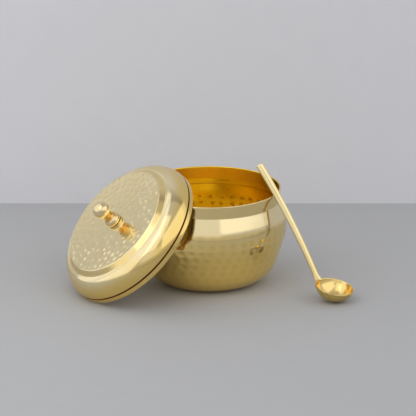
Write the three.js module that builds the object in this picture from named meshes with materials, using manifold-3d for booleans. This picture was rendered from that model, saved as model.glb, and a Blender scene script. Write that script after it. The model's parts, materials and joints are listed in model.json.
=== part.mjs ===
// Small brass ghee pot with its lid leaned against the rim and its ladle spoon resting on the rim.
// Millimetres, +Z up. The origin is the centre of the pot's flat base, on the surface it stands on.

import * as THREE from 'three';
import { mergeVertices } from 'three/addons/utils/BufferGeometryUtils.js';
import Module from 'manifold-3d';

const wasm = await Module();
wasm.setup();

const degrees = Math.PI / 180;

// Pot: a spun shell of even wall.
const potHeight = 71.7;
const potWall = 1.2;
const rimRadius = 52.8;
const collarHeight = 9.1;
const collarFootRadius = 52.3;
const shoulderHeight = 11.7;
const bellyRadius = 57;
const bellyHeight = 43.6;
const bellyArcRadius = 33.5;
const bellyWallAngle = 17.7 * degrees;
const footArcRadius = 25.7;

// Lid: a spun shell, sizes in its own frame with height counted up from its open edge.
const lidWall = 1;
const lidEdgeRadius = 57.3;
const lidSkirtHeight = 3.4;
const lidGrooveWidth = 1;
const lidGrooveDepth = 1.1;
const lidBandRadius = 57.2;
const lidBandHeight = 13.9;
const lidBandHandleShare = 0.465;
const lidStepRadius = 46.3;
const lidStepHeight = 3.3;
const lidDiscRadius = 44.2;

// Knob and its fixing.
const knobHeight = 20.4;
const knobBallRadius = 6.3;
const knobJunctionRadius = 4;
const knobNeckRadius = 3.9;
const knobNeckHeight = 7.3;
const knobBellRadius = 6.2;
const knobBellHeight = 2;
const knobFootRadius = 5.6;
const screwRadius = 2;
const screwThreadLength = 9;
const screwHeadRadius = 3.5;
const screwHeadHeight = 2.2;
const screwSlotWidth = 1;
const screwSlotDepth = 1.1;
const washerRadius = 5;
const washerThickness = 0.8;

// Spoon: a bowl cut from a sphere, and a bent, tapered, twisted bar brazed to its rim.
const bowlRadius = 15.2;
const bowlWall = 1;
const bowlDepth = 10.5;
const bowlTilt = 12.2 * degrees;
const handleLength = 94.6;
const handleBendRadius = 470;
const handleTopWidth = 5.4;
const handleFootWidth = 3.9;
const handleTopThickness = 3.1;
const handleFootThickness = 2.2;
const handleTwist = 82 * degrees;
const handleEdgeRounding = 0.4;
const footStandoff = 0.3;
const footLap = 2.6;

// How the loose pieces lie.
const lidLean = 47.4 * degrees;
const lidAzimuth = 207.9 * degrees;
const spoonContactAzimuth = -26.5 * degrees;
const spoonAzimuth = -33 * degrees;
const spoonLean = 55 * degrees;

// Clearances.
const seatGap = 0.3;
const seatSearchStep = 0.5;
const weldDistance = 0.0001;

// Facets.
const potFacets = 60;
const lidFacets = 60;
const knobFacets = 24;
const screwFacets = 20;
const bowlFacets = 32;
const curveSteps = 4;
const handleSteps = 14;
const clearanceFacets = 96;

// Seat search.
const seatSearchSteps = 40;
const ringSamples = 720;
const handleSamples = 48;
const faceSamples = 4;

const brass = (roughness) => new THREE.MeshStandardMaterial({
  color: 0xc8a558,
  roughness,
  metalness: 1,
});

// Shared vertices only, without the flat triangles that a revolve leaves on its axis.
const sealed = (geometry) => {
  geometry.deleteAttribute('normal');
  geometry.deleteAttribute('uv');
  const welded = mergeVertices(geometry, weldDistance);
  const index = Array.from(welded.index.array);
  const kept = [];
  for (let i = 0; i < index.length; i += 3) {
    const [a, b, c] = index.slice(i, i + 3);
    if (a !== b && b !== c && c !== a) kept.push(a, b, c);
  }
  welded.setIndex(kept);
  welded.computeVertexNormals();
  return welded;
};

// A profile of radius and height, turned about Z.
const turned = (profile, facets) => {
  const geometry = new THREE.LatheGeometry(profile.getPoints(curveSteps), facets);
  geometry.rotateX(Math.PI / 2);
  return sealed(geometry);
};

// Rings of equal length, each counterclockwise about the way they run, skinned and capped.
const lofted = (rings) => {
  const sides = rings[0].length;
  const positions = rings.flat().flatMap((point) => point.toArray());
  const faces = [];
  for (let i = 0; i + 1 < rings.length; i += 1) {
    for (let j = 0; j < sides; j += 1) {
      const a = i * sides + j;
      const b = i * sides + (j + 1) % sides;
      faces.push(a, b, b + sides, a, b + sides, a + sides);
    }
  }
  const last = (rings.length - 1) * sides;
  for (let j = 1; j + 1 < sides; j += 1) {
    faces.push(0, j + 1, j);
    faces.push(last, last + j, last + j + 1);
  }
  const geometry = new THREE.BufferGeometry();
  geometry.setAttribute('position', new THREE.Float32BufferAttribute(positions, 3));
  geometry.setIndex(faces);
  geometry.computeVertexNormals();
  return geometry;
};

const toSolid = (geometry) => new wasm.Manifold(new wasm.Mesh({
  numProp: 3,
  vertProperties: new Float32Array(geometry.attributes.position.array),
  triVerts: new Uint32Array(geometry.index.array),
}));

const fromSolid = (solid) => {
  const mesh = solid.getMesh();
  const geometry = new THREE.BufferGeometry();
  geometry.setAttribute('position', new THREE.Float32BufferAttribute(mesh.vertProperties, 3));
  geometry.setIndex(Array.from(mesh.triVerts));
  geometry.computeVertexNormals();
  return geometry;
};

const cut = (geometry, tool) => fromSolid(toSolid(geometry).subtract(toSolid(tool)));

const named = (name, geometry, material) => {
  const mesh = new THREE.Mesh(geometry, material);
  mesh.name = name;
  return mesh;
};

// Pot body. The base, foot arc, straight wall and belly arc run tangent to each other up to the
// crease, where the conical shoulder starts. The inner face repeats them one wall inside.
const creaseHeight = potHeight - collarHeight - shoulderHeight;
const creaseAngle = Math.asin((creaseHeight - bellyHeight) / bellyArcRadius);
const bellyCentreRadius = bellyRadius - bellyArcRadius;
const wallTopRadius = bellyCentreRadius + bellyArcRadius * Math.cos(bellyWallAngle);
const wallTopHeight = bellyHeight - bellyArcRadius * Math.sin(bellyWallAngle);
const wallFootHeight = footArcRadius * (1 - Math.sin(bellyWallAngle));
const wallFootRadius = wallTopRadius - (wallTopHeight - wallFootHeight) * Math.tan(bellyWallAngle);
const baseRadius = wallFootRadius - footArcRadius * Math.cos(bellyWallAngle);
const rimRounding = potWall / 2;

const potOuterFace = () => {
  const face = new THREE.Path();
  face.moveTo(0, 0);
  face.lineTo(baseRadius, 0);
  face.absarc(baseRadius, footArcRadius, footArcRadius, -Math.PI / 2, -bellyWallAngle);
  face.absarc(bellyCentreRadius, bellyHeight, bellyArcRadius, -bellyWallAngle, creaseAngle);
  face.lineTo(collarFootRadius, creaseHeight + shoulderHeight);
  face.absarc(rimRadius - rimRounding, potHeight - rimRounding, rimRounding, 0, Math.PI);
  return face;
};

const potBody = () => {
  const profile = potOuterFace();
  profile.lineTo(collarFootRadius - potWall, creaseHeight + shoulderHeight);
  const innerBelly = bellyArcRadius - potWall;
  profile.absarc(bellyCentreRadius, bellyHeight, innerBelly, creaseAngle, -bellyWallAngle, true);
  const innerFoot = footArcRadius - potWall;
  profile.absarc(baseRadius, footArcRadius, innerFoot, -bellyWallAngle, -Math.PI / 2, true);
  profile.lineTo(0, potWall);
  return named('pot_body', turned(profile, potFacets), brass(0.16));
};

// How far a point outside the pot is from its outer face.
const outline = potOuterFace().getPoints(curveSteps);
const potDistance = (point) => {
  const radius = Math.hypot(point.x, point.y);
  let nearest = Infinity;
  for (let i = 1; i < outline.length; i += 1) {
    const start = outline[i - 1];
    const run = outline[i].x - start.x;
    const rise = outline[i].y - start.y;
    const along = (radius - start.x) * run + (point.z - start.y) * rise;
    const share = Math.min(1, Math.max(0, along / (run * run + rise * rise)));
    const apart = Math.hypot(radius - start.x - run * share, point.z - start.y - rise * share);
    nearest = Math.min(nearest, apart);
  }
  return nearest;
};

// A loose piece comes in from well outside until its clearance to the pot is seatGap.
const seated = (clearance) => {
  let near = rimRadius + bellyRadius + lidEdgeRadius;
  while (clearance(near) > seatGap) near -= seatSearchStep;
  let far = near + seatSearchStep;
  for (let i = 0; i < seatSearchSteps; i += 1) {
    const middle = (near + far) / 2;
    if (clearance(middle) > seatGap) far = middle;
    else near = middle;
  }
  return far;
};

// Lid shell, open edge down at height 0 in its own frame, with the screw hole at its middle.
const bandFootHeight = lidSkirtHeight + lidGrooveWidth;
const bandTopHeight = bandFootHeight + lidBandHeight;
const discHeight = bandTopHeight + lidStepHeight;
const screwHoleRadius = screwRadius + seatGap;

const lidShell = () => {
  const riserRadius = (lidStepRadius + lidDiscRadius) / 2;
  const riserMiddle = (bandTopHeight + discHeight) / 2;
  const grooveHeight = lidSkirtHeight + lidGrooveWidth / 2;
  const edgeRounding = lidWall / 2;
  const reach = (size) => size * lidBandHandleShare;
  const innerBandRadius = lidBandRadius - lidWall;
  const innerBandTop = bandTopHeight - lidWall;
  const innerDisc = discHeight - lidWall;
  const innerRiser = riserRadius - lidWall;
  const profile = new THREE.Path();
  profile.moveTo(screwHoleRadius, innerDisc);
  profile.lineTo(lidDiscRadius - lidWall, innerDisc);
  profile.quadraticCurveTo(innerRiser, innerDisc, innerRiser, riserMiddle);
  profile.quadraticCurveTo(innerRiser, innerBandTop, lidStepRadius, innerBandTop);
  profile.bezierCurveTo(
    lidStepRadius + reach(innerBandRadius - lidStepRadius),
    innerBandTop,
    innerBandRadius,
    bandFootHeight + reach(innerBandTop - bandFootHeight),
    innerBandRadius,
    bandFootHeight,
  );
  profile.lineTo(lidEdgeRadius - lidGrooveDepth - lidWall, grooveHeight);
  profile.lineTo(lidEdgeRadius - lidWall, lidSkirtHeight);
  profile.absarc(lidEdgeRadius - edgeRounding, edgeRounding, edgeRounding, Math.PI, 2 * Math.PI);
  profile.lineTo(lidEdgeRadius, lidSkirtHeight);
  profile.lineTo(lidEdgeRadius - lidGrooveDepth, grooveHeight);
  profile.lineTo(lidBandRadius, bandFootHeight);
  profile.bezierCurveTo(
    lidBandRadius,
    bandFootHeight + reach(lidBandHeight),
    lidStepRadius + reach(lidBandRadius - lidStepRadius),
    bandTopHeight,
    lidStepRadius,
    bandTopHeight,
  );
  profile.quadraticCurveTo(riserRadius, bandTopHeight, riserRadius, riserMiddle);
  profile.quadraticCurveTo(riserRadius, discHeight, lidDiscRadius, discHeight);
  profile.lineTo(screwHoleRadius, discHeight);
  profile.lineTo(screwHoleRadius, innerDisc);
  return named('lid_shell', turned(profile, lidFacets), brass(0.14));
};

// Knob: flared foot, short neck and ball, with a blind hole for the screw.
const knobSeat = discHeight + seatGap;
const washerSeat = discHeight - lidWall - seatGap;
const screwHeadSeat = washerSeat - washerThickness - seatGap;

const lidKnob = () => {
  const ballCentre = knobHeight - knobBallRadius;
  const junctionAngle = -Math.acos(knobJunctionRadius / knobBallRadius);
  const junctionHeight = ballCentre + knobBallRadius * Math.sin(junctionAngle);
  const holeDepth = screwThreadLength + seatGap;
  const profile = new THREE.Path();
  profile.moveTo(0, holeDepth);
  profile.lineTo(screwHoleRadius, holeDepth);
  profile.lineTo(screwHoleRadius, 0);
  profile.lineTo(knobFootRadius, 0);
  profile.quadraticCurveTo(knobBellRadius, knobBellHeight / 4, knobBellRadius, knobBellHeight);
  profile.bezierCurveTo(
    knobBellRadius,
    (knobBellHeight + knobNeckHeight) / 2,
    knobNeckRadius,
    (knobBellHeight + knobNeckHeight) / 2,
    knobNeckRadius,
    knobNeckHeight,
  );
  profile.lineTo(knobJunctionRadius, junctionHeight);
  profile.absarc(0, ballCentre, knobBallRadius, junctionAngle, Math.PI / 2);
  const geometry = turned(profile, knobFacets);
  geometry.translate(0, 0, knobSeat);
  return named('lid_knob', geometry, brass(0.1));
};

// Screw: slotted pan head inside the lid, shank up through washer and disc into the knob.
const knobScrew = () => {
  const tip = knobSeat + screwThreadLength;
  const headFoot = screwHeadSeat - screwHeadHeight;
  const profile = new THREE.Path();
  profile.moveTo(0, headFoot);
  profile.lineTo(screwHeadRadius - screwHeadHeight / 2, headFoot);
  profile.quadraticCurveTo(screwHeadRadius, headFoot, screwHeadRadius, headFoot + screwHeadHeight / 2);
  profile.lineTo(screwHeadRadius, screwHeadSeat);
  profile.lineTo(screwRadius, screwHeadSeat);
  profile.lineTo(screwRadius, tip - screwRadius / 2);
  profile.lineTo(screwRadius / 2, tip);
  profile.lineTo(0, tip);
  const slot = new THREE.BoxGeometry(screwSlotWidth, 3 * screwHeadRadius, 2 * screwSlotDepth);
  slot.translate(0, 0, headFoot);
  const geometry = cut(turned(profile, screwFacets), sealed(slot));
  return named('knob_screw', geometry, brass(0.3));
};

const screwWasher = () => {
  const profile = new THREE.Path();
  profile.moveTo(screwHoleRadius, washerSeat - washerThickness);
  profile.lineTo(washerRadius, washerSeat - washerThickness);
  profile.lineTo(washerRadius, washerSeat);
  profile.lineTo(screwHoleRadius, washerSeat);
  profile.lineTo(screwHoleRadius, washerSeat - washerThickness);
  return named('screw_washer', turned(profile, screwFacets), brass(0.3));
};

// The lid leans with the round of its open edge against the pot, and its lowest point on the table.
// The round is a ring, whose points are measured against the pot's outer face.
const edgeRingRadius = lidEdgeRadius - lidWall / 2;
const lidCentreHeight = edgeRingRadius * Math.sin(lidLean) + (lidWall / 2) * (1 - Math.cos(lidLean));

const lidClearance = (distance) => {
  let nearest = Infinity;
  for (let i = 0; i <= ringSamples; i += 1) {
    const angle = Math.PI * i / ringSamples;
    const slope = edgeRingRadius * Math.cos(angle);
    const point = new THREE.Vector3(
      distance - slope * Math.cos(lidLean) + (lidWall / 2) * Math.sin(lidLean),
      edgeRingRadius * Math.sin(angle),
      lidCentreHeight + slope * Math.sin(lidLean) + (lidWall / 2) * Math.cos(lidLean),
    );
    nearest = Math.min(nearest, potDistance(point));
  }
  return nearest - lidWall / 2;
};

const lid = () => {
  const group = new THREE.Group();
  group.add(lidShell(), lidKnob(), knobScrew(), screwWasher());
  const distance = seated(lidClearance);
  group.rotation.set(0, lidLean, lidAzimuth, 'ZYX');
  group.position.set(
    distance * Math.cos(lidAzimuth),
    distance * Math.sin(lidAzimuth),
    lidCentreHeight,
  );
  return group;
};

// The spoon lies in one upright plane that points away from the pot at spoonAzimuth.
const up = new THREE.Vector3(0, 0, 1);
const away = new THREE.Vector3(Math.cos(spoonAzimuth), Math.sin(spoonAzimuth), 0);
const sideways = new THREE.Vector3().crossVectors(up, away);
const mixed = (a, x, b, y) => new THREE.Vector3().addScaledVector(a, x).addScaledVector(b, y);

// Bowl: its axis tips away from the pot by bowlTilt. The handle's foot stands just outside its rim.
const bowlRimDrop = bowlRadius - bowlDepth;
const bowlRimRadius = Math.sqrt(bowlRadius * bowlRadius - bowlRimDrop * bowlRimDrop);
const bowlUp = mixed(up, Math.cos(bowlTilt), away, Math.sin(bowlTilt));
const bowlAway = mixed(away, Math.cos(bowlTilt), up, -Math.sin(bowlTilt));
const footFromCentre = mixed(bowlAway, -bowlRimRadius - footStandoff, bowlUp, -bowlRimDrop);

// Handle: an arc with one lean at each point of it. It lies on the rim at spoonLean, stands steepest
// at its foot on the bowl, and runs on past the rim to its free end.
const contactHeight = potHeight - rimRounding;
const footHeight = bowlRadius + footFromCentre.z;
const footLean = Math.acos(Math.cos(spoonLean) - (contactHeight - footHeight) / handleBendRadius);
const lowestLean = footLean + footLap / handleBendRadius;
const freeEndLean = footLean - handleLength / handleBendRadius;
const handleOutward = (lean) => mixed(away, Math.sin(lean), up, Math.cos(lean));

// The handle's outline at a lean, as offsets from its middle line.
const handleOutline = (lean) => {
  const share = (lowestLean - lean) / (lowestLean - freeEndLean);
  const x = (handleFootWidth + (handleTopWidth - handleFootWidth) * share) / 2;
  const y = (handleFootThickness + (handleTopThickness - handleFootThickness) * share) / 2;
  const r = handleEdgeRounding;
  const outward = handleOutward(lean);
  const widthWay = mixed(sideways, Math.cos(handleTwist), outward, Math.sin(handleTwist));
  const thicknessWay = mixed(sideways, Math.sin(handleTwist), outward, -Math.cos(handleTwist));
  const corners = [
    [x, -y + r], [x, y - r], [x - r, y], [-x + r, y],
    [-x, y - r], [-x, -y + r], [-x + r, -y], [x - r, -y],
  ];
  return corners.map(([a, b]) => mixed(widthWay, a, thicknessWay, b));
};

// The middle line crosses the rim's height at some distance from the pot's axis.
const contactWay = new THREE.Vector3(
  Math.cos(spoonContactAzimuth),
  Math.sin(spoonContactAzimuth),
  0,
);
const handleBendCentre = (distance) => mixed(contactWay, distance, up, contactHeight)
  .addScaledVector(handleOutward(spoonLean), -handleBendRadius);

const handleClearance = (distance) => {
  const centre = handleBendCentre(distance);
  const clearanceAt = (lean) => {
    const middle = centre.clone().addScaledVector(handleOutward(lean), handleBendRadius);
    const corners = handleOutline(lean);
    let nearest = Infinity;
    corners.forEach((corner, j) => {
      const next = corners[(j + 1) % corners.length];
      for (let k = 0; k < faceSamples; k += 1) {
        const point = corner.clone().lerp(next, k / faceSamples).add(middle);
        nearest = Math.min(nearest, potDistance(point));
      }
    });
    return nearest;
  };
  const step = (freeEndLean - footLean) / handleSamples;
  const leans = Array.from({ length: handleSamples + 1 }, (_, i) => footLean + i * step);
  const clearances = leans.map(clearanceAt);
  const closest = leans[clearances.indexOf(Math.min(...clearances))];
  let low = closest - step;
  let high = closest + step;
  for (let i = 0; i < seatSearchSteps; i += 1) {
    const third = (high - low) / 3;
    if (clearanceAt(low + third) > clearanceAt(high - third)) low += third;
    else high -= third;
  }
  return clearanceAt(low);
};

const bendCentre = handleBendCentre(seated(handleClearance));
const handlePoint = (lean) => bendCentre.clone().addScaledVector(handleOutward(lean), handleBendRadius);
const bowlCentre = handlePoint(footLean).sub(footFromCentre);

const spoonBowl = () => {
  const rimAngle = -Math.asin(bowlRimDrop / bowlRadius);
  const profile = new THREE.Path();
  const middleRadius = bowlRadius - bowlWall / 2;
  profile.absarc(0, 0, bowlRadius, -Math.PI / 2, rimAngle);
  profile.absarc(
    middleRadius * Math.cos(rimAngle),
    middleRadius * Math.sin(rimAngle),
    bowlWall / 2,
    rimAngle,
    rimAngle + Math.PI,
  );
  profile.absarc(0, 0, bowlRadius - bowlWall, rimAngle, -Math.PI / 2, true);
  const geometry = turned(profile, bowlFacets);
  geometry.applyQuaternion(new THREE.Quaternion().setFromAxisAngle(sideways, bowlTilt));
  geometry.translate(bowlCentre.x, bowlCentre.y, bowlCentre.z);
  return named('spoon_bowl', geometry, brass(0.14));
};

const spoonHandle = () => {
  const rings = [];
  for (let i = 0; i <= handleSteps; i += 1) {
    const lean = lowestLean + (freeEndLean - lowestLean) * i / handleSteps;
    rings.push(handleOutline(lean).map((corner) => corner.add(handlePoint(lean))));
  }
  const clearance = new THREE.SphereGeometry(bowlRadius + seatGap, clearanceFacets, clearanceFacets / 2);
  clearance.translate(bowlCentre.x, bowlCentre.y, bowlCentre.z);
  return named('spoon_handle', cut(lofted(rings), sealed(clearance)), brass(0.18));
};

const gheePot = new THREE.Group();
gheePot.add(potBody(), lid(), spoonBowl(), spoonHandle());

export default gheePot;
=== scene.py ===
"""Looks for a small brass ghee pot with its leaning lid and its resting spoon.

Sizes are in millimetres and become metres when a piece is placed. Five pieces are made anew, each
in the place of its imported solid. The knob's screw and washer are shown as they are, in brass.
"""

import json
import math
import random
from collections import namedtuple

import bmesh
import bpy
from mathutils import Matrix, Vector
from mathutils.kdtree import KDTree


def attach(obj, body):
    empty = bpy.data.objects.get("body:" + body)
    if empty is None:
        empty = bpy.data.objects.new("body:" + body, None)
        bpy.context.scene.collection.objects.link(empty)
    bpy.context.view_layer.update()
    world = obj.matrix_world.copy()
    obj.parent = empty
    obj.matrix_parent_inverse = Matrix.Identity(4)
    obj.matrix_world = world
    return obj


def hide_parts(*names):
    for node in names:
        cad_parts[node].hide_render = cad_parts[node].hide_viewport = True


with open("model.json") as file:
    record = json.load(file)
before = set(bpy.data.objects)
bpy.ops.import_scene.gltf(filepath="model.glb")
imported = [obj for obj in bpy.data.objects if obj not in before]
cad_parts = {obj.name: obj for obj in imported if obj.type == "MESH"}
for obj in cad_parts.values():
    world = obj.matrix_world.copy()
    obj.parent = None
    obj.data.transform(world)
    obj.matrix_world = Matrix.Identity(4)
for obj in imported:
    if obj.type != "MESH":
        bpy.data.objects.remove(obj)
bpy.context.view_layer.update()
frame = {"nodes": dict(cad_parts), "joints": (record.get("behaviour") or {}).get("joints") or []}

MM = 0.001
UP = Vector((0, 0, 1))

# A turned shell is one spun sector, doubled until it goes all round
DOUBLINGS = 4
WELD = 0.0005

# Values written on the corners of a mesh for the finishes to read
INSIDE = "inside"
DENT = "dent"
EDGE = "edge"

# Pot
POT_HEIGHT = 71.7
POT_WALL = 1.2
RIM_RADIUS = 52.8
COLLAR_HEIGHT = 9.1
COLLAR_FOOT_RADIUS = 52.3
COLLAR_FOOT_EASING = 0.35
SHOULDER_HEIGHT = 11.7
CREASE_EASING = 3
BELLY_RADIUS = 57
BELLY_HEIGHT = 43.6
BELLY_ARC_RADIUS = 33.5
BELLY_WALL_ANGLE = math.radians(17.7)
FOOT_ARC_RADIUS = 25.7
POT_SEGMENTS = 448
POT_ARC_STEPS = 26

# The fine ridge inside the shoulder, by its share of the way from the collar's foot to the crease
RIDGE_SHARE = 0.32
RIDGE_RISE = 0.28
RIDGE_WIDTH = 0.8

crease_height = POT_HEIGHT - COLLAR_HEIGHT - SHOULDER_HEIGHT
collar_foot_height = crease_height + SHOULDER_HEIGHT
crease_angle = math.asin((crease_height - BELLY_HEIGHT) / BELLY_ARC_RADIUS)
belly_centre = BELLY_RADIUS - BELLY_ARC_RADIUS
wall_top_radius = belly_centre + BELLY_ARC_RADIUS * math.cos(BELLY_WALL_ANGLE)
wall_top_height = BELLY_HEIGHT - BELLY_ARC_RADIUS * math.sin(BELLY_WALL_ANGLE)
wall_foot_height = FOOT_ARC_RADIUS * (1 - math.sin(BELLY_WALL_ANGLE))
wall_foot_radius = wall_top_radius - (wall_top_height - wall_foot_height) * math.tan(BELLY_WALL_ANGLE)
base_radius = wall_foot_radius - FOOT_ARC_RADIUS * math.cos(BELLY_WALL_ANGLE)

# Hammer marks on the belly, in rows counted down from the crease. The top row is faint.
BELLY_SEED = 11
BELLY_ROWS = 8
BELLY_TOP_ROW = 47.4
BELLY_ROW_STEP = 5.6
BELLY_MARK_STEP = 7.9
BELLY_TURN_JITTER = 0.12
BELLY_HEIGHT_JITTER = 0.4
BELLY_FORCES = (0.85, 1.15)
BELLY_MARK_RADII = (3.4, 4.1)
BELLY_MARK_DEPTH = 0.42
BELLY_TOP_SHARE = 0.12
BELLY_FULL_SHARE = 1.1
BELLY_SHARE_LOSS = 0.07
BELLY_BUMP_RISE = 0.36

# The bump behind a mark is narrower than the mark. A mark moves only the corners whose normals
# agree with its own by this much, so it stays on its own face of the shell.
BUMP_WIDTH_SHARE = 0.62
LEAST_AGREEMENT = 0.5

# Lid, in its own frame with height counted up from its open edge
LID_WALL = 1
LID_EDGE_RADIUS = 57.3
BAND_RADIUS = 57.2
BAND_FOOT_HEIGHT = 4.4
BAND_HEIGHT = 13.9
BAND_HANDLE_SHARE = 0.465
STEP_HEIGHT = 3.3
LID_HOLE_RADIUS = 2.3
LID_SEGMENTS = 448

# The lid's riser and groove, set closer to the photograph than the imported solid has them
RISER_TOP_RADIUS = 43.1
RISER_TOP_EASING = 0.4
RISER_FOOT_RADIUS = 46.5
RISER_FOOT_EASING = 0.35
GROOVE_HEIGHT = 4.35
GROOVE_WIDTH = 1.6
GROOVE_DEPTH = 1.3
GROOVE_LIP = 0.25
GROOVE_EASING = 0.14
GROOVE_MARGIN = 0.2

riser_foot_height = BAND_FOOT_HEIGHT + BAND_HEIGHT
disc_height = riser_foot_height + STEP_HEIGHT
riser_angle = math.atan2(STEP_HEIGHT, RISER_FOOT_RADIUS - RISER_TOP_RADIUS)
groove_floor_radius = LID_EDGE_RADIUS - GROOVE_DEPTH

# Hammer marks on the lid's disc, in rings counted inwards and fainter towards the middle
DISC_SEED = 23
DISC_RINGS = 7
DISC_OUTER_RING = 40.6
DISC_RING_STEP = 5.0
DISC_MARK_STEP = 6.4
DISC_TURN_JITTER = 0.15
DISC_RADIUS_JITTER = 0.9
DISC_MARK_RADII = (1.9, 2.7)
DISC_LEAST_DEPTH = 0.06
DISC_DEPTH_SPREAD = 0.16
DISC_DEPTH_POWER = 1.2
DISC_MIDDLE_SHARE = 0.3

# Knob, with height counted up from its foot
KNOB_HEIGHT = 20.4
KNOB_BALL_RADIUS = 6.3
KNOB_JUNCTION_RADIUS = 4
KNOB_JUNCTION_EASING = 0.25
KNOB_NECK_RADIUS = 3.9
KNOB_NECK_HEIGHT = 7.3
KNOB_BELL_RADIUS = 6.2
KNOB_BELL_HEIGHT = 2
KNOB_FOOT_RADIUS = 5.6
KNOB_FOOT_MARGIN = 0.3
KNOB_HOLE_DEPTH = 9.3
KNOB_SEGMENTS = 128

# Spoon
BOWL_RADIUS = 15.2
BOWL_WALL = 1
BOWL_DEPTH = 10.5
BOWL_TILT = math.radians(12.2)
BOWL_SEGMENTS = 160
HANDLE_LENGTH = 94.6
HANDLE_BEND_RADIUS = 470
HANDLE_TOP_WIDTH = 5.4
HANDLE_FOOT_WIDTH = 3.9
HANDLE_TOP_THICKNESS = 3.1
HANDLE_FOOT_THICKNESS = 2.2
HANDLE_TWIST = math.radians(59)
HANDLE_CROWN = 0.38
HANDLE_SLANT = 0.2
FOOT_STANDOFF = 0.3
FOOT_LAP = 2.6
FOOT_CLEARANCE = 0.05
SPOON_AZIMUTH = math.radians(-33)
SPOON_LEAN = math.radians(55)
SEAT_GAP = 0.3

# The handle's foot spreads over the flare's length, most on its outer side
FLARE_LENGTH = 4.5
FLARE_OUTER = 0.9
FLARE_INNER = 0.25
FLARE_THICKNESS = 0.6

# The straight bar that the handle is bent from, and how sharply the painted shade at its edges is
# marked off
BLANK_WIDTH = 4.6
BLANK_THICKNESS = 2.7
BLANK_EASING = 0.42
BLANK_STRIPS = 8
BLANK_ROWS = 120
EDGE_POWER = 4
blank_length = HANDLE_LENGTH + FOOT_LAP

bowl_rim_drop = BOWL_RADIUS - BOWL_DEPTH
bowl_rim_radius = math.sqrt(BOWL_RADIUS ** 2 - bowl_rim_drop ** 2)


# Profiles

def arc(centre_radius, centre_height, radius, start, end, steps):
    """Points of an arc as (radius, height)."""
    turns = (start + (end - start) * i / steps for i in range(steps + 1))
    return [
        (centre_radius + radius * math.cos(turn), centre_height + radius * math.sin(turn))
        for turn in turns
    ]


def curve(points, steps):
    """Points of the Bezier curve with these control points."""
    out = []
    for i in range(steps + 1):
        t = i / steps
        row = [Vector(p) for p in points]
        while len(row) > 1:
            row = [a.lerp(b, t) for a, b in zip(row, row[1:])]
        out.append(tuple(row[0]))
    return out


def line(start, end, steps):
    """Evenly spaced points from start to end."""
    return curve([start, end], steps)


def eased(points, corner, size, steps):
    """The points with the one nearest the corner rounded over size on each side."""
    at = min(range(len(points)), key=lambda i: math.dist(points[i], corner))
    here = Vector(points[at])
    before = [p for p in points[:at] if math.dist(p, here) > size]
    after = [p for p in points[at + 1:] if math.dist(p, here) > size]
    start = here + (Vector(before[-1]) - here).normalized() * size
    end = here + (Vector(after[0]) - here).normalized() * size
    return before + curve([start, here, end], steps) + after


# Shells

def turned(profile, segments):
    """A closed shell from a profile that is turned about the upright axis."""
    shell = bmesh.new()
    kept = [profile[0]]
    for point in profile[1:]:
        if math.dist(point, kept[-1]) > 2 * WELD:
            kept.append(point)
    verts = [shell.verts.new((radius, 0, height)) for radius, height in kept]
    edges = [shell.edges.new(pair) for pair in zip(verts, verts[1:])]
    angle = 2 * math.pi / 2 ** DOUBLINGS
    bmesh.ops.spin(
        shell, geom=verts + edges, cent=(0, 0, 0), axis=(0, 0, 1),
        angle=angle, steps=segments // 2 ** DOUBLINGS,
    )
    for i in range(DOUBLINGS):
        copy = bmesh.ops.duplicate(shell, geom=shell.verts[:] + shell.edges[:] + shell.faces[:])
        bmesh.ops.rotate(
            shell, cent=(0, 0, 0), matrix=Matrix.Rotation(angle * 2 ** i, 3, "Z"),
            verts=[part for part in copy["geom"] if isinstance(part, bmesh.types.BMVert)],
        )
    bmesh.ops.remove_doubles(shell, verts=shell.verts, dist=WELD)
    bmesh.ops.recalc_face_normals(shell, faces=shell.faces)
    return shell


def write_inside(shell, heart):
    """Writes on each corner whether it faces the heart of the vessel."""
    shell.normal_update()
    inside = shell.verts.layers.float.new(INSIDE)
    for vert in shell.verts:
        vert[inside] = float(vert.normal.dot(heart - vert.co) > 0)


Mark = namedtuple("Mark", "centre normal radius depth rise")


def hammered(shell, marks, wall):
    """Sinks the marks into the outer face, and raises a narrower bump behind each one.

    How far a corner moves, as a share of the deepest mark, is also written on it.
    """
    shell.normal_update()
    dent = shell.verts.layers.float.new(DENT)
    verts = list(shell.verts)
    normals = [vert.normal.copy() for vert in verts]
    tree = KDTree(len(verts))
    for i, vert in enumerate(verts):
        tree.insert(vert.co, i)
    tree.balance()
    moves = {}
    for mark in marks:
        sinking = (mark.centre, mark.radius, mark.depth, 1)
        rising = (mark.centre - mark.normal * wall, mark.radius * BUMP_WIDTH_SHARE, mark.rise, -1)
        for centre, reach, deepest, side in (sinking, rising):
            for _, i, distance in tree.find_range(centre, reach):
                if normals[i].dot(mark.normal) * side <= LEAST_AGREEMENT:
                    continue
                depth = deepest * (1 - (distance / reach) ** 2) ** 2
                if depth > moves.get(i, (0, 0))[0]:
                    moves[i] = (depth, side)
    full_depth = max(mark.depth for mark in marks)
    for i, (depth, side) in moves.items():
        verts[i].co -= normals[i] * depth * side
        verts[i][dent] = depth / full_depth
    shell.normal_update()


def piece(name, shell, body, finish, nodes, place=None):
    """Places a shell made in millimetres, attaches it to the body it rides on, and hides the imported
    solids it stands in for.
    """
    bmesh.ops.transform(
        shell, matrix=(place or Matrix.Identity(4)) @ Matrix.Scale(MM, 4), verts=shell.verts,
    )
    mesh = bpy.data.meshes.new(name)
    shell.to_mesh(mesh)
    shell.free()
    mesh.shade_smooth()
    mesh.materials.append(finish)
    obj = bpy.data.objects.new(name, mesh)
    bpy.context.scene.collection.objects.link(obj)
    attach(obj, body)
    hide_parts(*nodes)


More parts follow.
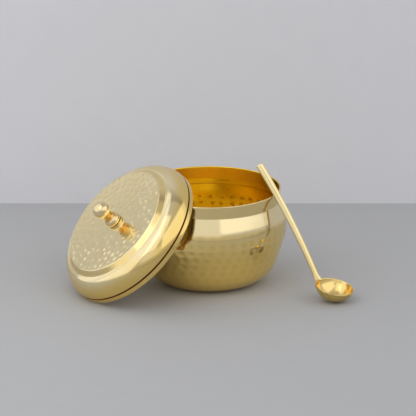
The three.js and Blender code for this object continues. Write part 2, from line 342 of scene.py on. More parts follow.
# Places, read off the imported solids

lid_joint = next(j for j in frame["joints"] if j["child"] == "lid")
lid_axis = Vector(lid_joint["axis"]).normalized()
lid_corners = [v.co for v in frame["nodes"]["lid_shell"].data.vertices]
lid_middle = sum(lid_corners, Vector()) / len(lid_corners)
lid_lowest = min(co.dot(lid_axis) for co in lid_corners)
lid_place = (
    Matrix.Translation(lid_middle + lid_axis * (lid_lowest - lid_middle.dot(lid_axis)))
    @ Matrix.Rotation(math.atan2(lid_axis.y, lid_axis.x), 4, "Z")
    @ Matrix.Rotation(math.acos(lid_axis.z), 4, "Y")
)
lid_origin = lid_place.translation

away = Vector((math.cos(SPOON_AZIMUTH), math.sin(SPOON_AZIMUTH), 0))
sideways = UP.cross(away)
bowl_up = UP * math.cos(BOWL_TILT) + away * math.sin(BOWL_TILT)
bowl_away = away * math.cos(BOWL_TILT) - UP * math.sin(BOWL_TILT)
bowl_corners = [v.co for v in frame["nodes"]["spoon_bowl"].data.vertices]
bowl_middle = sum(bowl_corners, Vector()) / len(bowl_corners) / MM
bowl_centre = bowl_middle + bowl_up * ((BOWL_RADIUS - bowl_middle.z) / bowl_up.z)
bowl_place = Matrix.Translation(bowl_centre * MM) @ Matrix.Rotation(BOWL_TILT, 4, sideways)


# Writing a material

class Field:
    """A value that changes over a surface, with arithmetic."""

    def __init__(self, finish, socket):
        self.finish = finish
        self.socket = socket

    def worked(self, operation, *others):
        """The result of a maths operation on this value."""
        return self.finish.add("ShaderNodeMath", {"operation": operation}, self, *others)

    def __add__(self, other):
        return self.worked("ADD", other)

    def __sub__(self, other):
        return self.worked("SUBTRACT", other)

    def __rsub__(self, other):
        return self.finish.add("ShaderNodeMath", {"operation": "SUBTRACT"}, other, self)

    def __mul__(self, other):
        return self.worked("MULTIPLY", other)

    def __truediv__(self, other):
        return self.worked("DIVIDE", other)

    __radd__ = __add__
    __rmul__ = __mul__

    def vector(self, operation, other, output=0):
        return self.finish.add(
            "ShaderNodeVectorMath", {"operation": operation}, self, other, output=output,
        )


class Finish:
    """One material and the few nodes that it is written with."""

    def __init__(self, name):
        self.material = bpy.data.materials.new(name)
        self.material.use_nodes = True
        self.nodes = self.material.node_tree.nodes
        self.links = self.material.node_tree.links
        self.shader = self.nodes["Principled BSDF"]
        self.where = self.add("ShaderNodeTexCoord", {}, output="Object")

    def add(self, kind, settings, *values, output=0, **named):
        """Adds a node with its settings first, then values or links on its sockets."""
        node = self.nodes.new(kind)
        for key, value in settings.items():
            setattr(node, key, value)
        for key, value in [*enumerate(values), *named.items()]:
            self.put(node.inputs[key.replace("_", " ") if isinstance(key, str) else key], value)
        return Field(self, node.outputs[output])

    def put(self, socket, value):
        if isinstance(value, Field):
            self.links.new(value.socket, socket)
        else:
            socket.default_value = value

    def read(self, attribute):
        """A value written on the corners of a mesh, and 0 where there is none."""
        return self.add("ShaderNodeAttribute", {"attribute_name": attribute}, output="Fac")

    def noise(self, place, scale, detail, roughness):
        return self.add(
            "ShaderNodeTexNoise", {"noise_dimensions": "3D"},
            Vector=place, Scale=scale, Detail=detail, Roughness=roughness,
        )

    def between(self, value, low, high):
        """0 at low and 1 at high, smooth between them and level beyond. Low may be the larger."""
        return self.add(
            "ShaderNodeMapRange", {"interpolation_type": "SMOOTHSTEP", "clamp": True},
            Value=value, From_Min=low, From_Max=high,
        )

    def blend(self, factor, first, second):
        """A colour between two others."""
        node = self.nodes.new("ShaderNodeMix")
        node.data_type = "RGBA"
        self.put(node.inputs["Factor"], factor)
        for socket, value in zip(node.inputs[6:8], (first, second)):
            self.put(socket, value)
        return Field(self, node.outputs[2])

    def along(self, origin, axis):
        """Height along an axis and distance from it, in millimetres."""
        offset = self.where.vector("SUBTRACT", tuple(origin))
        height = offset.vector("DOT_PRODUCT", tuple(axis), output="Value")
        on_axis = self.add("ShaderNodeVectorMath", {"operation": "SCALE"}, tuple(axis), Scale=height)
        radius = offset.vector("SUBTRACT", on_axis).vector("LENGTH", (0, 0, 0), output="Value")
        return height / MM, radius / MM

    def set(self, **sockets):
        for key, value in sockets.items():
            self.put(self.shader.inputs[key.replace("_", " ")], value)


# Brass colours, painted light and shade among them

CLEAN_BRASS = (0.92, 0.72, 0.34, 1)
WARM_BRASS = (0.90, 0.67, 0.27, 1)
PALE_BRASS = (0.94, 0.81, 0.51, 1)
SHADE_AND_SPECKLE_BRASS = (0.88, 0.62, 0.17, 1)
PAINTED_BELLY_REFLECTION = (1.0, 0.735, 0.24, 1)
KNOB_BRASS = (0.90, 0.73, 0.42, 1)
PAINTED_NECK_SHADE = (0.84, 0.46, 0.08, 1)
PAINTED_DISC_LIGHT = (0.99, 0.87, 0.56, 1)
HANDLE_BRASS = (0.99, 0.83, 0.46, 1)
PAINTED_EDGE_SHADE = (0.66, 0.50, 0.18, 1)
PAINTED_CUP_SHADE = (0.66, 0.46, 0.10, 1)
PAINTED_CUP_REFLECTION = (0.96, 0.71, 0.28, 1)
PAINTED_INSIDE_REFLECTION = (1.0, 0.72, 0.07, 1)
PAINTED_BUMP_SHADE = (0.66, 0.38, 0.02, 1)
PAINTED_GROOVE_SHADE = (0.16, 0.045, 0.012, 1)

# The fine relief of turning lines and grain, with its depth in metres
RELIEF_DEPTH = 0.00004
RELIEF_STRENGTH = 0.4

# Heights and radii between which the painted light and shade change, with the neck's heights counted
# from the disc
BELLY_TONE_TOP = 50
BELLY_TONE_FOOT = 26
INSIDE_TONE_FOOT = 2
BAND_TONE_RADIUS = 50
NECK_TONE_TOP = 12
NECK_TONE_FOOT = 10


# Finishes

def brass(name, origin, axis, clean, polish, haze, look=None, relief=None):
    """Polished brass that was turned about an axis: fine turning lines, haze and handling marks.

    look gets the finish, the height, the radius, the colour and the roughness, and returns the
    last two as they are for one piece. relief gets the first three, and returns fine relief.
    """
    finish = Finish(name)
    height, radius = finish.along(origin, axis)
    rings = finish.add("ShaderNodeCombineXYZ", {}, height, radius, 0.0)
    turning = finish.noise(rings, scale=5.0, detail=3.0, roughness=0.6)
    grain = finish.noise(finish.where, scale=2600.0, detail=2.0, roughness=0.6)
    clouds = finish.noise(finish.where, scale=38.0, detail=4.0, roughness=0.55)
    cloud = finish.between(clouds, 0.38, 0.68)
    smears = finish.noise(finish.where, scale=110.0, detail=3.0, roughness=0.6)
    smear = finish.between(smears, 0.52, 0.72)
    colour = finish.blend(cloud * 0.55, clean, WARM_BRASS)
    rough = polish + haze * cloud * 0.5 + haze * smear * 0.5 + grain * 0.03 + turning * 0.02
    if look:
        colour, rough = look(finish, height, radius, colour, rough)
    fine = turning * 0.7 + grain * 0.3
    if relief:
        fine = fine + relief(finish, height, radius)
    bump = finish.add(
        "ShaderNodeBump", {}, Strength=RELIEF_STRENGTH, Distance=RELIEF_DEPTH, Height=fine,
    )
    finish.set(Base_Color=colour, Metallic=1.0, Roughness=rough, Normal=bump)
    return finish.material


def pot_look(finish, height, radius, colour, rough):
    """Painted light and shade: a pale shoulder for its highlight, a warmer belly towards the foot for
    its reflection of the floor, shade in the marks and on the inner bumps, and a satin, deep orange
    inside for the light that bounces in it.
    """
    above_crease = finish.between(height, crease_height - 0.5, crease_height + 0.7)
    below_collar = finish.between(height, collar_foot_height + 0.2, collar_foot_height - 0.2)
    low = finish.between(height, BELLY_TONE_TOP, BELLY_TONE_FOOT)
    inside = finish.read(INSIDE)
    dent = finish.read(DENT)
    off_floor = finish.between(height, INSIDE_TONE_FOOT, BELLY_TONE_FOOT)
    inside_share = inside * (0.75 + off_floor * 0.25)
    bump_share = inside * finish.between(dent, 0.13, 0.52) * 0.8
    # Painted highlight: the shoulder between the crease and the collar is blended towards pale brass
    colour = finish.blend(above_crease * below_collar * 0.7, colour, PALE_BRASS)
    # Painted reflection: the belly turns warmer and brighter from below the crease towards the foot,
    # standing in for its reflection of the floor
    colour = finish.blend(low, colour, PAINTED_BELLY_REFLECTION)
    # Painted shade in the hammer marks, darker the deeper a corner was sunk
    colour = finish.blend(dent * 0.75, colour, SHADE_AND_SPECKLE_BRASS)
    # Painted reflection: a deep orange inside, standing in for the light that bounces within the pot,
    # a little less on its floor
    colour = finish.blend(inside_share, colour, PAINTED_INSIDE_REFLECTION)
    # Painted shade on the inner bumps
    colour = finish.blend(bump_share, colour, PAINTED_BUMP_SHADE)
    return colour, rough * (1 - inside * 0.7) + inside * 0.21


def lid_look(finish, height, radius, colour, rough):
    """Painted light and shade: paler on the disc, painted shade on the riser, down the band and in
    the groove, with a random speckle on the disc.
    """
    low = finish.between(radius, BAND_TONE_RADIUS, BAND_RADIUS - 0.2)
    past_disc = finish.between(radius, RISER_TOP_RADIUS + 0.1, RISER_TOP_RADIUS + 0.5)
    before_band = finish.between(radius, RISER_FOOT_RADIUS + 0.2, RISER_FOOT_RADIUS - 0.2)
    disc = finish.between(radius, RISER_TOP_RADIUS - 0.5, RISER_TOP_RADIUS - 1.3)
    grains = finish.noise(finish.where, scale=820.0, detail=2.0, roughness=0.65)
    speckle = finish.between(grains, 0.46, 0.6)
    from_groove = (height - GROOVE_HEIGHT).worked("ABSOLUTE")
    beside = finish.between(from_groove, GROOVE_WIDTH * 0.62, GROOVE_WIDTH * 0.45)
    sunken = finish.between(radius, LID_EDGE_RADIUS - 0.1, LID_EDGE_RADIUS - 0.35)
    outer_face = finish.between(radius, groove_floor_radius - 1.2, groove_floor_radius - 0.6)
    dark = sunken * beside * outer_face
    deep = low * 0.85 + past_disc * before_band * 0.45 + disc * speckle * 0.3
    # Painted light: the disc paler than the rest of the lid
    colour = finish.blend(disc * 0.8, colour, PAINTED_DISC_LIGHT)
    # Painted shade on the riser and down the band; the disc's random speckle deepens with the same
    # colour
    colour = finish.blend(deep, colour, SHADE_AND_SPECKLE_BRASS)
    # Painted shade in the groove
    colour = finish.blend(dark, colour, PAINTED_GROOVE_SHADE)
    return colour, rough + dark * 0.25


def disc_relief(finish, height, radius):
    """Light planishing all over the lid's disc, between the deeper hammer marks."""
    cells = finish.add(
        "ShaderNodeTexVoronoi", {"feature": "SMOOTH_F1"},
        Vector=finish.where, Scale=330.0, Smoothness=0.6,
    )
    return cells * finish.between(radius, RISER_TOP_RADIUS - 0.5, RISER_TOP_RADIUS - 1.5) * 2.4


def knob_look(finish, height, radius, colour, rough):
    """Painted shade round the neck, in the hollow between the ball and the bell."""
    slim = finish.between(radius, KNOB_FOOT_RADIUS - 0.2, KNOB_NECK_RADIUS + 0.3)
    below_ball = finish.between(height, disc_height + NECK_TONE_TOP, disc_height + NECK_TONE_FOOT)
    # Painted shade in the recess of the neck
    return finish.blend(slim * below_ball * 0.85, colour, PAINTED_NECK_SHADE), rough


def spoon_look(finish, height, radius, colour, rough):
    """Painted shade on the cup's outside with a random mottle, a deeper gold inside the cup for the
    light that bounces in it, and painted shade along the handle's edges.
    """
    inside = finish.read(INSIDE)
    near_cup = finish.between(radius, BOWL_RADIUS + 0.8, BOWL_RADIUS - 0.2)
    cup = near_cup * finish.between(height, 1.1 - bowl_rim_drop, 0.3 - bowl_rim_drop)
    grains = finish.noise(finish.where, scale=700.0, detail=2.0, roughness=0.6)
    mottle = finish.between(grains, 0.45, 0.62)
    outside = cup * (1 - inside)
    # Painted shade on the cup's outside, with a random mottle in how much
    colour = finish.blend(outside * (0.6 + mottle * 0.4), colour, PAINTED_CUP_SHADE)
    # Painted reflection: a deeper gold inside the cup for the light that bounces in it
    colour = finish.blend(inside, colour, PAINTED_CUP_REFLECTION)
    # Painted shade along the handle's long edges
    colour = finish.blend(finish.read(EDGE), colour, PAINTED_EDGE_SHADE)
    return colour, rough + inside * 0.05 + outside * mottle * 0.1


pot_finish = brass(
    "pot_brass", (0, 0, 0), UP, CLEAN_BRASS, polish=0.09, haze=0.07, look=pot_look,
)
lid_finish = brass(
    "lid_brass", lid_origin, lid_axis, PALE_BRASS, polish=0.08, haze=0.06,
    look=lid_look, relief=disc_relief,
)
knob_finish = brass(
    "knob_brass", lid_origin, lid_axis, KNOB_BRASS, polish=0.03, haze=0.04, look=knob_look,
)
fixing_finish = brass("fixing_brass", lid_origin, lid_axis, WARM_BRASS, polish=0.26, haze=0.15)
spoon_finish = brass(
    "spoon_brass", bowl_centre * MM, bowl_up, HANDLE_BRASS, polish=0.08, haze=0.08,
    look=spoon_look,
)


# Pot

def ridged(start, end):
    """Points from the crease to the collar's foot, with the shoulder's fine inner ridge."""
    way = (Vector(end) - Vector(start)).normalized()
    ridge = Vector(end).lerp(start, RIDGE_SHARE)
    low = tuple(ridge - way * RIDGE_WIDTH / 2)
    high = tuple(ridge + way * RIDGE_WIDTH / 2)
    peak = tuple(ridge + way.orthogonal() * RIDGE_RISE * 2)
    crest = curve([low, peak, high], steps=4)[1:-1]
    return line(start, low, steps=8) + crest + line(high, end, steps=4)


def pot_face(inset):
    """The pot's face from its axis to the foot of its collar, inset from the outside."""
    foot = FOOT_ARC_RADIUS - inset
    belly = BELLY_ARC_RADIUS - inset
    foot_arc = arc(
        base_radius, FOOT_ARC_RADIUS, foot, -math.pi / 2, -BELLY_WALL_ANGLE, POT_ARC_STEPS,
    )
    belly_arc = arc(
        belly_centre, BELLY_HEIGHT, belly, -BELLY_WALL_ANGLE, crease_angle, POT_ARC_STEPS,
    )
    crease = belly_arc[-1]
    collar_foot = (COLLAR_FOOT_RADIUS - inset, collar_foot_height)
    points = line((0, inset), foot_arc[0], steps=8) + foot_arc
    points += line(foot_arc[-1], belly_arc[0], steps=POT_ARC_STEPS // 2) + belly_arc
    points += ridged(crease, collar_foot) if inset else line(crease, collar_foot, steps=8)
    return eased(points, crease, CREASE_EASING, steps=10), collar_foot


def belly_point(height):
    """The outside radius of the pot below its crease, and its normal as (radial, upright)."""
    if height > wall_top_height:
        rise = (height - BELLY_HEIGHT) / BELLY_ARC_RADIUS
        run = math.sqrt(1 - rise ** 2)
        return belly_centre + BELLY_ARC_RADIUS * run, run, rise
    if height > wall_foot_height:
        drop = (wall_top_height - height) * math.tan(BELLY_WALL_ANGLE)
        return wall_top_radius - drop, math.cos(BELLY_WALL_ANGLE), -math.sin(BELLY_WALL_ANGLE)
    rise = height / FOOT_ARC_RADIUS - 1
    run = math.sqrt(1 - rise ** 2)
    return base_radius + FOOT_ARC_RADIUS * run, run, rise


def belly_marks():
    """Hammer marks in rows around the belly, softer towards the foot."""
    chance = random.Random(BELLY_SEED)
    marks = []
    for row in range(BELLY_ROWS):
        height = BELLY_TOP_ROW - BELLY_ROW_STEP * row
        share = BELLY_FULL_SHARE - BELLY_SHARE_LOSS * row if row else BELLY_TOP_SHARE
        columns = round(2 * math.pi * belly_point(height)[0] / BELLY_MARK_STEP)
        for column in range(columns):
            aside = chance.uniform(-BELLY_TURN_JITTER, BELLY_TURN_JITTER)
            turn = 2 * math.pi * (column + aside) / columns
            at = height + chance.uniform(-BELLY_HEIGHT_JITTER, BELLY_HEIGHT_JITTER)
            radius, run, rise = belly_point(at)
            way = Vector((math.cos(turn), math.sin(turn), 0))
            force = chance.uniform(*BELLY_FORCES)
            marks.append(Mark(
                centre=way * radius + Vector((0, 0, at)),
                normal=way * run + Vector((0, 0, rise)),
                radius=chance.uniform(*BELLY_MARK_RADII),
                depth=BELLY_MARK_DEPTH * share * force,
                rise=BELLY_BUMP_RISE * force,
            ))
    return marks


def make_pot():
    outer, outer_collar_foot = pot_face(0)
    inner, inner_collar_foot = pot_face(POT_WALL)
    rounding = POT_WALL / 2
    rim = arc(RIM_RADIUS - rounding, POT_HEIGHT - rounding, rounding, 0, math.pi, steps=10)
    outside = outer + line(outer_collar_foot, rim[0], steps=6)
    inside = inner + line(inner_collar_foot, rim[-1], steps=6)
    outside = eased(outside, outer_collar_foot, COLLAR_FOOT_EASING, steps=5)
    inside = eased(inside, inner_collar_foot, COLLAR_FOOT_EASING, steps=5)
    shell = turned(outside + rim + inside[::-1], POT_SEGMENTS)
    write_inside(shell, Vector((0, 0, BELLY_HEIGHT)))
    hammered(shell, belly_marks(), POT_WALL)
    piece("pot_wall", shell, "pot", pot_finish, ["pot_body"])


# Lid

def lid_face(inset, disc_steps):
    """The lid's face from its hole to the top of its groove, inset from the outside."""
    corner_inset = inset * math.tan(riser_angle / 2)
    riser_top = (RISER_TOP_RADIUS - corner_inset, disc_height - inset)
    riser_foot = (RISER_FOOT_RADIUS - corner_inset, riser_foot_height - inset)
    band_foot = (BAND_RADIUS - inset, BAND_FOOT_HEIGHT)
    reach_out = (band_foot[0] - riser_foot[0]) * BAND_HANDLE_SHARE
    reach_up = (riser_foot[1] - band_foot[1]) * BAND_HANDLE_SHARE
    band_top_handle = (riser_foot[0] + reach_out, riser_foot[1])
    band_foot_handle = (band_foot[0], band_foot[1] + reach_up)
    groove_top = (band_foot[0], GROOVE_HEIGHT + GROOVE_WIDTH / 2)
    points = line((LID_HOLE_RADIUS, disc_height - inset), riser_top, steps=disc_steps)
    points += line(riser_top, riser_foot, steps=4)[1:]
    points += curve([riser_foot, band_top_handle, band_foot_handle, band_foot], steps=28)[1:]
    points = [p for p in points if p[1] > groove_top[1] + GROOVE_MARGIN] + [groove_top]
    points = eased(points, riser_top, RISER_TOP_EASING, steps=4)
    return eased(points, riser_foot, RISER_FOOT_EASING, steps=4)


def disc_marks():
    """Hammer marks in rings on the lid's disc."""
    chance = random.Random(DISC_SEED)
    marks = []
    for ring in range(DISC_RINGS):
        radius = DISC_OUTER_RING - DISC_RING_STEP * ring
        share = DISC_MIDDLE_SHARE + (1 - DISC_MIDDLE_SHARE) * radius / DISC_OUTER_RING
        count = round(2 * math.pi * radius / DISC_MARK_STEP)
        start = chance.uniform(0, 1)
        for i in range(count):
            aside = chance.uniform(-DISC_TURN_JITTER, DISC_TURN_JITTER)
            turn = 2 * math.pi * (i + start + aside) / count
            at = radius + chance.uniform(-DISC_RADIUS_JITTER, DISC_RADIUS_JITTER)
            spread = DISC_DEPTH_SPREAD * chance.random() ** DISC_DEPTH_POWER
            depth = (DISC_LEAST_DEPTH + spread) * share
            marks.append(Mark(
                centre=Vector((at * math.cos(turn), at * math.sin(turn), disc_height)),
                normal=UP,
                radius=chance.uniform(*DISC_MARK_RADII),
                depth=depth,
                rise=depth,
            ))
    return marks


def make_lid():
    rounding = LID_WALL / 2
    outer = lid_face(0, disc_steps=64)
    inner = lid_face(LID_WALL, disc_steps=40)
    deep = (groove_floor_radius, GROOVE_HEIGHT)
    lip = (LID_EDGE_RADIUS - GROOVE_LIP, GROOVE_HEIGHT - GROOVE_WIDTH / 2)
    edge = arc(LID_EDGE_RADIUS - rounding, rounding, rounding, 0, -math.pi, steps=8)
    outside = outer + line(outer[-1], deep, steps=3)
    outside += line(deep, lip, steps=3) + line(lip, edge[0], steps=3)
    for corner in (outer[-1], deep, lip):
        outside = eased(outside, corner, GROOVE_EASING, steps=4)
    inside = inner + [(radius - LID_WALL, height) for radius, height in (deep, lip)]
    profile = outside + edge + inside[::-1] + [outer[0]]
    shell = turned(profile, LID_SEGMENTS)
    hammered(shell, disc_marks(), LID_WALL)
    piece("lid_spinning", shell, "lid", lid_finish, ["lid_shell"], lid_place)


def make_knob():
    ball_centre = KNOB_HEIGHT - KNOB_BALL_RADIUS
    junction_angle = -math.acos(KNOB_JUNCTION_RADIUS / KNOB_BALL_RADIUS)
    ball = arc(0, ball_centre, KNOB_BALL_RADIUS, junction_angle, math.pi / 2, steps=36)
    waist = (KNOB_BELL_HEIGHT + KNOB_NECK_HEIGHT) / 2
    foot = (KNOB_FOOT_RADIUS, 0)
    bell = (KNOB_BELL_RADIUS, KNOB_BELL_HEIGHT)
    neck = (KNOB_NECK_RADIUS, KNOB_NECK_HEIGHT)
    profile = [(0, KNOB_HOLE_DEPTH), (LID_HOLE_RADIUS, KNOB_HOLE_DEPTH), (LID_HOLE_RADIUS, 0)]
    # A corner just inside the foot's edge keeps the underside flat in smooth shading
    profile += [(KNOB_FOOT_RADIUS - KNOB_FOOT_MARGIN, 0)]
    profile += curve([foot, (KNOB_BELL_RADIUS, KNOB_BELL_HEIGHT / 4), bell], steps=8)
    bell_handle = (KNOB_BELL_RADIUS, waist)
    neck_handle = (KNOB_NECK_RADIUS, waist)
    profile += curve([bell, bell_handle, neck_handle, neck], steps=18)[1:]
    profile += line(neck, ball[0], steps=4)[1:]
    profile += ball[1:]
    profile = eased(profile, ball[0], KNOB_JUNCTION_EASING, steps=4)
    shell = turned(profile, KNOB_SEGMENTS)
    seat = Matrix.Translation((0, 0, (disc_height + SEAT_GAP) * MM))
    piece("knob_turning", shell, "lid", knob_finish, ["lid_knob"], lid_place @ seat)


# Spoon

def outward(lean):
    """The way from the bend's centre to the handle where it leans this far from upright."""
    return away * math.sin(lean) + UP * math.cos(lean)


foot_from_centre = -bowl_away * (bowl_rim_radius + FOOT_STANDOFF) - bowl_up * bowl_rim_drop
foot_height = BOWL_RADIUS + foot_from_centre.z
contact_height = POT_HEIGHT - POT_WALL / 2
foot_lean = math.acos(math.cos(SPOON_LEAN) - (contact_height - foot_height) / HANDLE_BEND_RADIUS)
lowest_lean = foot_lean + FOOT_LAP / HANDLE_BEND_RADIUS
free_end_lean = foot_lean - HANDLE_LENGTH / HANDLE_BEND_RADIUS
bend_centre = bowl_centre + foot_from_centre - outward(foot_lean) * HANDLE_BEND_RADIUS


def make_bowl():
    rim_angle = -math.asin(bowl_rim_drop / BOWL_RADIUS)
    middle = BOWL_RADIUS - BOWL_WALL / 2
    profile = arc(0, 0, BOWL_RADIUS, -math.pi / 2, rim_angle, steps=36)
    profile += arc(
        middle * math.cos(rim_angle), middle * math.sin(rim_angle), BOWL_WALL / 2,
        rim_angle, rim_angle + math.pi, steps=8,
    )[1:]
    profile += arc(0, 0, BOWL_RADIUS - BOWL_WALL, rim_angle, -math.pi / 2, steps=36)[1:]
    shell = turned(profile, BOWL_SEGMENTS)
    write_inside(shell, Vector())
    piece("spoon_cup", shell, "spoon", spoon_finish, ["spoon_bowl"], bowl_place)


def handle_blank():
    """A straight bar with eased edges, cut into strips across and into rows along."""
    shell = bmesh.new()
    bmesh.ops.create_cube(shell, size=1)
    bmesh.ops.scale(shell, vec=(BLANK_WIDTH, BLANK_THICKNESS, blank_length), verts=shell.verts)
    bmesh.ops.bevel(
        shell, geom=shell.edges[:], offset=BLANK_EASING, segments=4, profile=0.5,
        affect="EDGES", material=-1,
    )
    cuts = (((1, 0, 0), BLANK_WIDTH, BLANK_STRIPS), ((0, 0, 1), blank_length, BLANK_ROWS))
    for way, size, count in cuts:
        for i in range(1, count):
            bmesh.ops.bisect_plane(
                shell, geom=shell.verts[:] + shell.edges[:] + shell.faces[:],
                plane_co=[part * size * (i / count - 0.5) for part in way], plane_no=way,
            )
    return shell


def handle_section(x, y, share):
    """A corner of the blank, crowned, tapered along the handle and flared at its foot."""
    across = x / (BLANK_WIDTH / 2)
    crown = 1 - HANDLE_CROWN * across ** 2
    if y < 0:
        crown -= HANDLE_SLANT * across
    flare = math.exp(-(share * blank_length / FLARE_LENGTH) ** 2)
    width = HANDLE_FOOT_WIDTH + (HANDLE_TOP_WIDTH - HANDLE_FOOT_WIDTH) * share
    width *= 1 + (FLARE_OUTER if x > 0 else FLARE_INNER) * flare
    thickness = HANDLE_FOOT_THICKNESS + (HANDLE_TOP_THICKNESS - HANDLE_FOOT_THICKNESS) * share
    thickness *= crown * (1 + FLARE_THICKNESS * flare)
    return x / BLANK_WIDTH * width, y / BLANK_THICKNESS * thickness


def clear_of_cup(spot):
    """The spot, or the nearest one outside the cup's wall if it is in the cup."""
    from_cup = spot - bowl_centre
    reach = BOWL_RADIUS + FOOT_CLEARANCE
    below_rim = from_cup.dot(bowl_up) < BOWL_WALL / 2 - bowl_rim_drop
    if below_rim and from_cup.length < reach:
        return bowl_centre + from_cup.normalized() * reach
    return spot


def make_handle():
    """The blank, bent along the handle's arc with its section turned to the handle's twist.

    How near a corner is to the bar's long edges is also written on it.
    """
    shell = handle_blank()
    edge = shell.verts.layers.float.new(EDGE)
    for vert in shell.verts:
        vert[edge] = abs(vert.co.x / (BLANK_WIDTH / 2)) ** EDGE_POWER
        share = vert.co.z / blank_length + 0.5
        x, y = handle_section(vert.co.x, vert.co.y, share)
        out = outward(lowest_lean + (free_end_lean - lowest_lean) * share)
        width_way = sideways * math.cos(HANDLE_TWIST) + out * math.sin(HANDLE_TWIST)
        thickness_way = sideways * math.sin(HANDLE_TWIST) - out * math.cos(HANDLE_TWIST)
        spot = bend_centre + out * HANDLE_BEND_RADIUS + width_way * x + thickness_way * y
        vert.co = clear_of_cup(spot)
    bmesh.ops.recalc_face_normals(shell, faces=shell.faces)
    piece("spoon_bar", shell, "spoon", spoon_finish, ["spoon_handle"])


make_pot()
make_lid()
make_knob()
make_bowl()
make_handle()
for node in ("knob_screw", "screw_washer"):
    frame["nodes"][node].data.materials.clear()
    frame["nodes"][node].data.materials.append(fixing_finish)


# Floor and backdrop, in metres from here on

FLOOR_SIZE = 16
WALL_WIDTH = 6
WALL_HEIGHT = 3
WALL_DISTANCE = 0.19
BOARD_LEFT = -1.2
BOARD_RIGHT = -0.18
BOARD_HEIGHT = 0.9
BOARD_DISTANCE = 0.188
FLOOR_COLOUR = (0.515, 0.52, 0.53, 1)
WALL_COLOUR = (0.785, 0.79, 0.83, 1)
BOARD_COLOUR = (0.95, 0.945, 0.94, 1)
PAINT_SHADE = 0.985


def paint(name, colour, one_sided=False):
    """Matt paint, very slightly uneven. One-sided paint can't be seen from behind."""
    finish = Finish(name)
    uneven = finish.noise(finish.where, scale=60.0, detail=3.0, roughness=0.5)
    shaded = [part * PAINT_SHADE for part in colour[:3]] + [1]
    shade = finish.blend(finish.between(uneven, 0.2, 0.8), shaded, colour)
    finish.set(Base_Color=shade, Roughness=0.75, Specular_IOR_Level=0.15)
    if one_sided:
        clear = finish.add("ShaderNodeBsdfTransparent", {})
        back = finish.add("ShaderNodeNewGeometry", {}, output="Backfacing")
        front = Field(finish, finish.shader.outputs[0])
        mix = finish.add("ShaderNodeMixShader", {}, back, front, clear)
        finish.put(finish.nodes["Material Output"].inputs["Surface"], mix)
    return finish.material


def sheet(name, place, width, height, finish):
    """A flat stage surface that faces along its place's Z axis."""
    surface = bmesh.new()
    bmesh.ops.create_grid(
        surface, x_segments=1, y_segments=1, size=0.5,
        matrix=place @ Matrix.Diagonal((width, height, 1, 1)),
    )
    mesh = bpy.data.meshes.new(name)
    surface.to_mesh(mesh)
    surface.free()
    mesh.materials.append(finish)
    obj = bpy.data.objects.new(name, mesh)
    bpy.context.scene.collection.objects.link(obj)


def upright(middle, distance, height):
    """The place of an upright sheet that stands on the floor and faces the front."""
    return Matrix.Translation((middle, distance, height / 2)) @ Matrix.Rotation(math.pi / 2, 4, "X")


sheet("floor", Matrix.Identity(4), FLOOR_SIZE, FLOOR_SIZE, paint("floor_paint", FLOOR_COLOUR))
sheet(
    "backdrop", upright(0, WALL_DISTANCE, WALL_HEIGHT), WALL_WIDTH, WALL_HEIGHT,
    paint("wall_paint", WALL_COLOUR, one_sided=True),
)
sheet(
    "side_board", upright((BOARD_LEFT + BOARD_RIGHT) / 2, BOARD_DISTANCE, BOARD_HEIGHT),
    BOARD_RIGHT - BOARD_LEFT, BOARD_HEIGHT, paint("board_paint", BOARD_COLOUR, one_sided=True),
)


# Lights, with angles in degrees and levels where 1 is white

ROOM_LEVEL = 0.53
ROOM_COLOUR = (1.0, 0.995, 0.99, 1)


def panel(name, place, facing, width, height, level, roll=0):
    """A softbox or white card of an even level.

    A lamp adds its light to the room seen behind it, so the room's level is taken off.
    """
    lamp = bpy.data.lights.new(name, "AREA")
    lamp.shape = "RECTANGLE"
    lamp.size = width
    lamp.size_y = height
    lamp.energy = (level - ROOM_LEVEL) * math.pi * width * height
    obj = bpy.data.objects.new(name, lamp)
    aim = facing.to_track_quat("-Z", "Y").to_matrix() @ Matrix.Rotation(math.radians(roll), 3, "Z")
    obj.matrix_world = Matrix.Translation(place) @ aim.to_4x4()
    bpy.context.scene.collection.objects.link(obj)


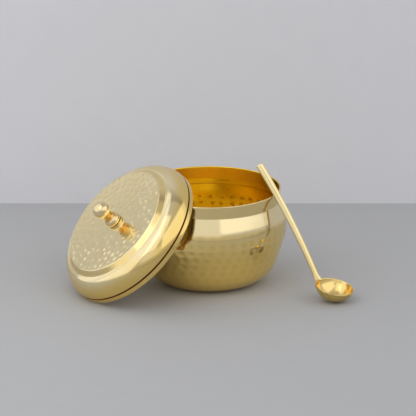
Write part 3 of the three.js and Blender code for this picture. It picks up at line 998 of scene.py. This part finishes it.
def panel_facing_pot(name, azimuth, elevation, distance, **panel_settings):
    """A panel by its direction from the pot, with the azimuth from the front towards the right."""
    turn, rise = math.radians(azimuth), math.radians(elevation)
    across, ahead = math.sin(turn) * math.cos(rise), math.cos(turn) * math.cos(rise)
    place = Vector((across, -ahead, math.sin(rise))) * distance
    panel(name, place, -place, **panel_settings)


panel(
    "left_card", Vector((-0.27, -0.21, 0.35)), facing=Vector((0.7, 0, -0.3)),
    width=0.68, height=0.76, level=1.02,
)
panel_facing_pot(
    "front_box", azimuth=-18, elevation=50, distance=1.0, width=0.58, height=0.88, level=1.05,
)
panel_facing_pot(
    "low_card", azimuth=-3, elevation=17.5, distance=1.4, width=1.1, height=0.4, level=0.78,
)
panel_facing_pot(
    "right_box", azimuth=69, elevation=36, distance=0.95, width=2.0, height=0.78, level=1.09,
    roll=-7,
)

world = bpy.data.worlds.new("studio")
bpy.context.scene.world = world
world.use_nodes = True
world.node_tree.nodes["Background"].inputs["Color"].default_value = ROOM_COLOUR
world.node_tree.nodes["Background"].inputs["Strength"].default_value = ROOM_LEVEL


# Camera. Its focal length, and the origin's place from the middle, are in the photograph's pixels

CAMERA_DISTANCE = 3.7
CAMERA_ELEVATION = math.radians(18.06)
CAMERA_RANGE = 50
FOCAL_LENGTH_PIXELS = 5000
PICTURE_WIDTH_PIXELS = 416
ORIGIN_RIGHT_PIXELS = 1.21
ORIGIN_DOWN_PIXELS = 71.17

camera = bpy.data.objects.new("camera", bpy.data.cameras.new("camera"))
camera.data.lens = camera.data.sensor_width * FOCAL_LENGTH_PIXELS / PICTURE_WIDTH_PIXELS
camera.data.clip_end = CAMERA_RANGE
from_pot = Vector((0, -math.cos(CAMERA_ELEVATION), math.sin(CAMERA_ELEVATION)))
camera.location = from_pot * CAMERA_DISTANCE
camera.rotation_euler = (
    math.pi / 2 - CAMERA_ELEVATION + math.atan(ORIGIN_DOWN_PIXELS / FOCAL_LENGTH_PIXELS),
    0,
    math.atan(ORIGIN_RIGHT_PIXELS / FOCAL_LENGTH_PIXELS),
)
bpy.context.scene.collection.objects.link(camera)
bpy.context.scene.camera = camera
bpy.context.scene.view_settings.view_transform = "Standard"
